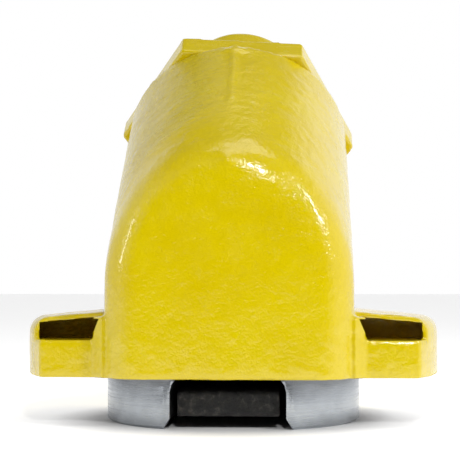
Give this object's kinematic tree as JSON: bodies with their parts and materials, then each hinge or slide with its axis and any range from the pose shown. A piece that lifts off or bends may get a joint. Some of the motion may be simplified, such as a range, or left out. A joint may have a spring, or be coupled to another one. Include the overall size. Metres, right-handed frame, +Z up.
{
  "type": "toe jack",
  "caption": "Low toe jack: cast body with inclined barrel, hexagonal end cap and two hollow ears on a round slotted foot with a sliding toe.",
  "frame": {"origin": "on the floor plane, on the vertical axis of the round foot", "axes": "+Z up, the flat front face and the toe's nose face -Y, the barrel rises towards +Y, +X to the right seen from the front"},
  "size_m": [0.1608, 0.1487, 0.1669],
  "materials": {
    "enamel": "gloss yellow enamel over a rough sand casting",
    "bare_steel": "bare turned steel, fine lathe lines",
    "forged_black": "black forging scale",
    "zinc_steel": "zinc-plated fastener",
    "ground_steel": "ground and hard chromed",
    "rail_steel": "milled tool steel, oiled",
    "bronze": "machined bearing bronze",
    "aluminium": "turned aluminium",
    "rubber": "moulded nitrile rubber",
    "urethane": "moulded polyurethane",
    "acetal": "turned acetal or nylon",
    "spring_steel": "drawn spring wire, oiled",
    "sintered_bronze": "sintered bronze"
  },
  "bodies": {
    "jack_body": {"body_casting": "enamel", "end_cap": "enamel", "ram_glands": "bronze", "ram_wipers": "urethane", "toe_rail_left": "rail_steel", "toe_rail_right": "rail_steel", "rail_screws": "zinc_steel", "toe_drag_pad": "acetal", "toe_drag_spring": "spring_steel", "booster_liner": "bare_steel", "plunger_bush": "bronze", "plunger_seal": "urethane", "return_spring": "spring_steel", "end_cap_ring": "rubber", "oil_fill_plug": "zinc_steel", "breather_plug": "sintered_bronze", "cap_lock_screw": "zinc_steel"},
    "foot": {"foot_ring": "bare_steel", "foot_screws": "zinc_steel", "ram_left": "ground_steel", "ram_right": "ground_steel", "ram_wear_rings": "acetal", "ram_backup_rings": "acetal", "ram_seals": "urethane"},
    "toe": {"toe": "forged_black"},
    "booster": {"plunger": "ground_steel", "booster_piston": "aluminium", "piston_band": "acetal", "piston_seal": "rubber", "piston_nut": "zinc_steel"},
    "bleed_valve": {"bleed_screw": "zinc_steel"}
  },
  "joints": [
    {"name": "foot_lift", "type": "slide", "parent": "jack_body", "child": "foot", "axis": [0, 0, -1], "range_m": [0, 0.01]},
    {"name": "booster_slide", "type": "slide", "parent": "jack_body", "child": "booster", "axis": [0, -0.788, -0.6157], "range_m": [0, 0.03125], "stiffness_N_per_m": 800, "springref_m": -0.012, "deforming": ["return_spring"]},
    {"name": "toe_slide", "type": "slide", "parent": "jack_body", "child": "toe", "axis": [0, -1, 0], "range_m": [0, 0.03]},
    {"name": "bleed_turn", "type": "hinge", "parent": "jack_body", "child": "bleed_valve", "pos_m": [0.0435, -0.02636, 0.06097], "axis": [1, 0, 0], "range_deg": [0, 360]}
  ],
  "couplings": [
    {"joint": "booster_slide", "follows": "foot_lift", "ratio": 3.125}
  ]
}
